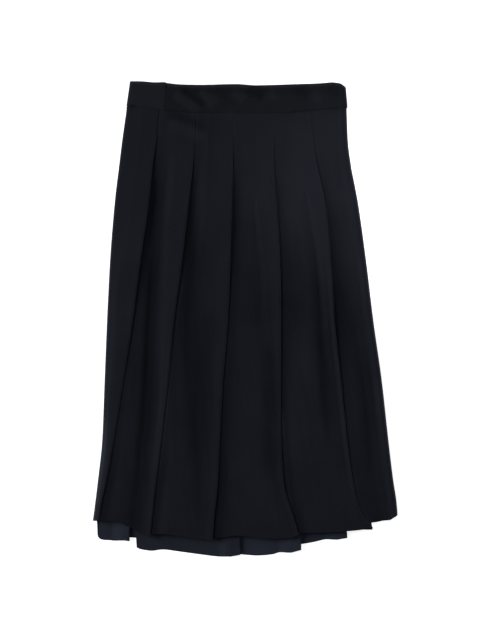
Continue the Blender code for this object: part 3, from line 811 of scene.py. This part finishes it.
def cloth_piece(name, x, y, z, half, wear_and_painted_light, finish):
    """A closed sheet of cloth round its middle surface, half its thickness to each side along the
    normals. The map "cloth" holds metres along the cloth and down it. The attribute "inside" is 1
    on the wearer's side. The attribute of wear and painted light and shade is more than 0 where the
    outside is painted paler, by wear or by painted highlight, and less than 0 where it has painted
    shade."""
    middle = np.stack([x, y, z], axis=-1)
    offset = inward_normals(middle) * half[..., None]
    points = np.concatenate([(middle - offset).reshape(-1, 3), (middle + offset).reshape(-1, 3)])
    outer = np.arange(x.size).reshape(x.shape)
    inner = outer + x.size
    faces = np.concatenate([
        quads(outer[:-1, :-1], outer[1:, :-1], outer[1:, 1:], outer[:-1, 1:]),
        quads(inner[:-1, :-1], inner[:-1, 1:], inner[1:, 1:], inner[1:, :-1]),
        rim(outer[0], inner[0]),
        rim(outer[::-1, 0], inner[::-1, 0]),
        rim(outer[-1, ::-1], inner[-1, ::-1]),
        rim(outer[:, -1], inner[:, -1]),
    ])
    mesh = bpy.data.meshes.new(name)
    mesh.from_pydata(points.tolist(), [], faces.tolist())
    steps = np.diff(middle, axis=1, prepend=middle[:, :1])
    travelled = np.cumsum(np.linalg.norm(steps, axis=-1), axis=1)
    travelled -= travelled[:, -1:] / 2
    flat = np.stack([travelled, y], axis=-1).reshape(-1, 2)
    corner = np.empty(len(mesh.loops), dtype=np.int32)
    mesh.loops.foreach_get("vertex_index", corner)
    layer = mesh.uv_layers.new(name="cloth")
    layer.uv.foreach_set("vector", flat[corner % x.size].ravel())
    inside = mesh.attributes.new("inside", "FLOAT", "POINT")
    inside.data.foreach_set("value", np.repeat([0.0, 1.0], x.size))
    tone_attribute = mesh.attributes.new("wear_and_painted_light", "FLOAT", "POINT")
    tone_attribute.data.foreach_set("value", np.tile(wear_and_painted_light.ravel(), 2))
    mesh.shade_smooth()
    mesh.materials.append(finish)
    piece = bpy.data.objects.new(name, mesh)
    bpy.context.collection.objects.link(piece)
    return piece


def panel_half(y):
    """Half the cloth's thickness: more where the hem is turned up, and rounded into the edges."""
    up = y - y[-1:]
    half = blend(HEM_CLOTH, CLOTH, ease((up - HEM_TURNING) / TURNING_SOFT)) / 2
    inset = np.clip(1.0 - up / HEM_ROUND, 0.0, 1.0)
    half = half * np.maximum(np.sqrt(1.0 - inset**2), HEM_EDGE)
    half[:, [0, -1]] *= SEAM_EDGE
    return half


# ---- finishes ---------------------------------------------------------------------------------
class Wire:
    """A socket in a finish. Adding, subtracting and multiplying wires makes Math nodes."""

    def __init__(self, finish, socket):
        self.finish = finish
        self.socket = socket

    def math(self, operation, first, second):
        return self.finish.node("ShaderNodeMath", {"operation": operation}, [first, second])

    def __add__(self, other):
        return self.math("ADD", self, other)

    def __sub__(self, other):
        return self.math("SUBTRACT", self, other)

    def __mul__(self, other):
        return self.math("MULTIPLY", self, other)


class Finish:
    """A material whose nodes are made one at a time."""

    def __init__(self, name):
        self.material = bpy.data.materials.new(name)
        self.material.use_nodes = True
        self.tree = self.material.node_tree
        self.shader = self.tree.nodes["Principled BSDF"]

    def node(self, kind, settings, inputs, output=0):
        """A node of a kind, with its settings first and then its sockets, by place or by name."""
        node = self.tree.nodes.new(kind)
        for key, value in settings.items():
            setattr(node, key, value)
        for key, value in inputs.items() if isinstance(inputs, dict) else enumerate(inputs):
            self.feed(node.inputs[key], value)
        return Wire(self, node.outputs[output])

    def mix(self, factor, first, second):
        """A colour between two others. A Mix node takes colours at its sockets 6 and 7."""
        sockets = {0: factor, 6: first, 7: second}
        return self.node("ShaderNodeMix", {"data_type": "RGBA"}, sockets, output=2)

    def feed(self, socket, value):
        if isinstance(value, Wire):
            self.tree.links.new(value.socket, socket)
        else:
            socket.default_value = value

    def set(self, **sockets):
        for key, value in sockets.items():
            self.feed(self.shader.inputs[key.replace("_", " ")], value)


# Colours of the cloth, as linear red, green, blue and alpha. deep and light: the ends of the shade,
# which random tone, yarns and painted light and shade move the colour between. pale: where the
# cloth is painted paler, by wear and by painted highlight.
Tones = namedtuple("Tones", "deep light pale")
SKIRT_TONES = Tones(
    deep=(0.0048, 0.0056, 0.0084, 1.0),
    light=(0.0130, 0.0144, 0.0200, 1.0),
    pale=(0.0190, 0.0215, 0.0300, 1.0),
)
# The band's tones: a darker copy of the skirt's, painted shade, as the band lies lower than the
# panels.
BAND_SHADED_TONES = Tones(
    deep=(0.0044, 0.0053, 0.0072, 1.0),
    light=(0.0096, 0.0108, 0.0140, 1.0),
    pale=(0.0170, 0.0195, 0.0250, 1.0),
)
INNER_LIT_DEEP = (0.0140, 0.0170, 0.0245, 1.0)  # the first two on the wearer's side: a lit copy, painted light where it shows below the front hem
INNER_LIT_LIGHT = (0.0205, 0.0250, 0.0370, 1.0)
TWILL_TURN = np.radians(58.0)  # the slope of the twill's ribs across the cloth


def suiting(name, tones, roughness):
    """Matt wool suiting: a fine twill under a soft nap, a little uneven in tone, with painted light
    and shade in its colour and a paler inside painted as lit.

    Each noise is about 0.5 on average, and so is the shade between the deep and the light tone.
    """
    finish = Finish(name)
    cloth = finish.node("ShaderNodeUVMap", {"uv_map": "cloth"}, [])
    place = finish.node("ShaderNodeTexCoord", {}, [], output="Object")

    def noise(vector, scale, detail, stretch=(1.0, 1.0, 1.0)):
        stretched = finish.node("ShaderNodeMapping", {}, {"Vector": vector, "Scale": stretch})
        settings = {"Vector": stretched, "Scale": scale, "Detail": detail, "Roughness": 0.55}
        return finish.node("ShaderNodeTexNoise", {"noise_dimensions": "3D"}, settings, output="Fac")

    def attribute(name):
        return finish.node("ShaderNodeAttribute", {"attribute_name": name}, [], output="Fac")

    tone = noise(place, scale=14.0, detail=3.0)
    streak = noise(cloth, scale=130.0, detail=2.0, stretch=(1.0, 0.04, 1.0))
    yarn = noise(cloth, scale=1500.0, detail=2.0, stretch=(1.0, 0.25, 1.0))
    nap = noise(place, scale=900.0, detail=3.0)
    turned = {"Vector": cloth, "Rotation": (0.0, 0.0, TWILL_TURN)}
    diagonal = finish.node("ShaderNodeMapping", {}, turned)
    wave = {"Vector": diagonal, "Scale": 260.0, "Distortion": 0.8}
    wave |= {"Detail": 1.0, "Detail Scale": 3.0}
    bands = {"wave_type": "BANDS", "bands_direction": "X"}
    twill = finish.node("ShaderNodeTexWave", bands, wave, output="Fac")
    inside, wear_and_painted_light = attribute("inside"), attribute("wear_and_painted_light")
    # The shade and the paleness take in the painted light and shade of the wear attribute.
    shade = (tone - 0.5) * 0.7 + (streak - 0.5) * 0.4 + (yarn - 0.5) * 0.35 + wear_and_painted_light * 0.5 + 0.5
    face = finish.mix(wear_and_painted_light * 0.4, finish.mix(shade, tones.deep, tones.light), tones.pale)
    # The wearer's side takes the lit copy of the tones: painted light.
    colour = finish.mix(inside, face, finish.mix(shade, INNER_LIT_DEEP, INNER_LIT_LIGHT))
    relief = twill * 0.5 + yarn * 0.3 + nap * 0.5
    raised = {"Strength": 0.35, "Distance": 0.00025, "Height": relief}
    bump = finish.node("ShaderNodeBump", {}, raised, output="Normal")
    finish.set(
        Base_Color=colour,
        Roughness=(tone - 0.5) * 0.1 + (nap - 0.5) * 0.1 + roughness,
        Normal=bump,
        Specular_IOR_Level=0.05,
        Sheen_Weight=0.08,
        Sheen_Roughness=0.45,
        Sheen_Tint=(0.45, 0.52, 0.85, 1.0),
    )
    return finish.material


def floor_finish():
    """A pale, evenly lit tabletop."""
    finish = Finish("pale_table")
    place = finish.node("ShaderNodeTexCoord", {}, [], output="Object")
    grain = finish.node("ShaderNodeTexNoise", {}, {"Vector": place, "Scale": 3.0}, output="Fac")
    finish.set(
        Base_Color=(0.80, 0.80, 0.80, 1.0),
        Roughness=grain * 0.1 + 0.7,
        Specular_IOR_Level=0.1,
        Emission_Color=(1.0, 1.0, 1.0, 1.0),
        Emission_Strength=0.78,
    )
    return finish.material


# ---- pieces -----------------------------------------------------------------------------------
def dress():
    """The three sewn pieces, each in its own CAD solid's place."""
    navy = suiting("navy_suiting", SKIRT_TONES, roughness=0.86)
    # The band's finish is the darker copy, with painted shade.
    band_shaded_navy = suiting("band_suiting_shaded", BAND_SHADED_TONES, roughness=0.82)
    front = cloth_piece("front_cloth", *front_surface(), navy)
    back = cloth_piece("back_cloth", *back_surface(), navy)
    band = cloth_piece("band_cloth", *band_surface(), band_shaded_navy)
    sewn = [
        (front, "front_panel", "cloth"),
        (back, "back_panel", "cloth"),
        (band, "waistband", "band_cloth"),
    ]
    for piece, node, slot in sewn:
        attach(piece, "root")
        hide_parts(node)


# ---- light, floor and camera ------------------------------------------------------------------
def aim(name, light, place, target):
    """A light at a place, turned to a target, that the camera doesn't see."""
    lamp = bpy.data.objects.new(name, light)
    lamp.location = place
    lamp.rotation_mode = "QUATERNION"
    lamp.rotation_quaternion = (Vector(target) - Vector(place)).to_track_quat("-Z", "Y")
    lamp.visible_camera = False
    bpy.context.collection.objects.link(lamp)


def softbox(name, place, size, power, target=(0.0, 0.0, 0.0)):
    light = bpy.data.lights.new(name, "AREA")
    light.size, light.energy = size, power
    aim(name, light, place, target)


def glow(name, target, angle, power):
    """A soft round patch of light, from above on the right."""
    light = bpy.data.lights.new(name, "SPOT")
    light.spot_size, light.spot_blend = np.radians(angle), 1.0
    light.shadow_soft_size, light.energy = 0.15, power
    aim(name, light, (0.55, 0.65, 1.6), target)


def add_table():
    """A level square just below the skirt."""
    half, level = 8.0, -0.0003
    corners = [(-half, -half), (half, -half), (half, half), (-half, half)]
    mesh = bpy.data.meshes.new("table")
    mesh.from_pydata([(x, y, level) for x, y in corners], [], [(0, 1, 2, 3)])
    mesh.materials.append(floor_finish())
    table = bpy.data.objects.new("table", mesh)
    bpy.context.collection.objects.link(table)


def add_lights():
    softbox("key", place=(-5.0, 0.74, 1.6), size=2.4, power=425.0)
    softbox("fill", place=(0.0, 0.5, 4.6), size=3.0, power=34.0)
    softbox("side", place=(2.6, 0.5, 0.95), size=0.8, power=9.0)
    softbox("rim", place=(2.2, 0.3, 0.18), size=0.25, power=46.0, target=(0.2, 0.0, 0.0))
    glow("hip", target=(0.126, 0.234, 0.0), angle=7.0, power=130.0)
    glow("side_glow", target=(0.198, 0.178, 0.0), angle=4.3, power=240.0)
    world = bpy.data.worlds.new("studio")
    bpy.context.scene.world = world
    world.use_nodes = True
    background = world.node_tree.nodes["Background"].inputs
    background["Color"].default_value = (0.9, 0.92, 1.0, 1.0)
    background["Strength"].default_value = 0.045


def add_camera():
    """Straight above the skirt. shown: metres of the table along the longer side of its view."""
    shown, distance, middle = 1.056, 4.0, Vector((-0.00825, -0.0020, 0.008))
    camera = bpy.data.cameras.new("camera")
    camera.sensor_width = 36.0
    camera.lens = camera.sensor_width * distance / shown
    shot = bpy.data.objects.new("camera", camera)
    shot.location = middle + Vector((0.0, 0.0, distance))
    bpy.context.collection.objects.link(shot)
    bpy.context.scene.camera = shot
    bpy.context.scene.view_settings.view_transform = "Standard"


def main():
    dress()
    add_table()
    add_lights()
    add_camera()


main()
